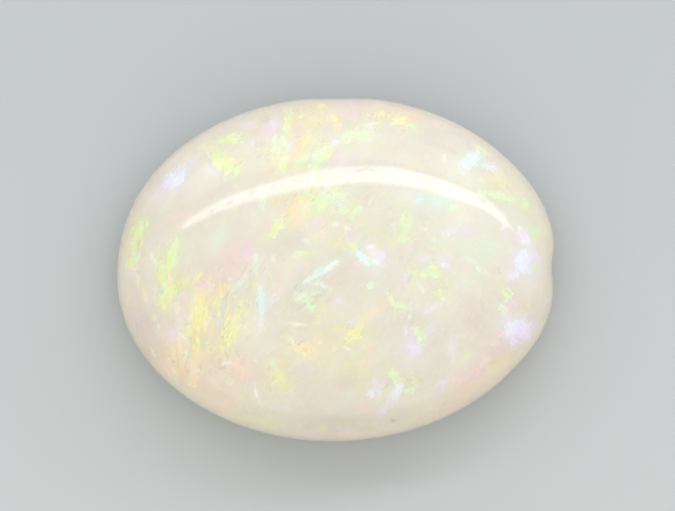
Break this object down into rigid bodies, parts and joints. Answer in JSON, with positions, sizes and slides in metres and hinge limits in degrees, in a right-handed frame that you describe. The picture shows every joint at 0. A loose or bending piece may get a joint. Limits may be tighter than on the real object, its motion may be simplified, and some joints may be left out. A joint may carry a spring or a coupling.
{
  "type": "loose opal",
  "caption": "Oval opal cabochon: a polished milky dome with flakes of play-of-colour, a rounded girdle and a flat back that it rests on.",
  "frame": {"origin": "on the flat back, under the middle of the stone's outline", "axes": "+X along the stone's length, towards the end with the small notch; +Z out of the top of the dome"},
  "size_m": [0.014, 0.011, 0.0047],
  "materials": {
    "opal": "polished"
  },
  "bodies": {
    "root": {"opal": "opal"}
  },
  "joints": []
}
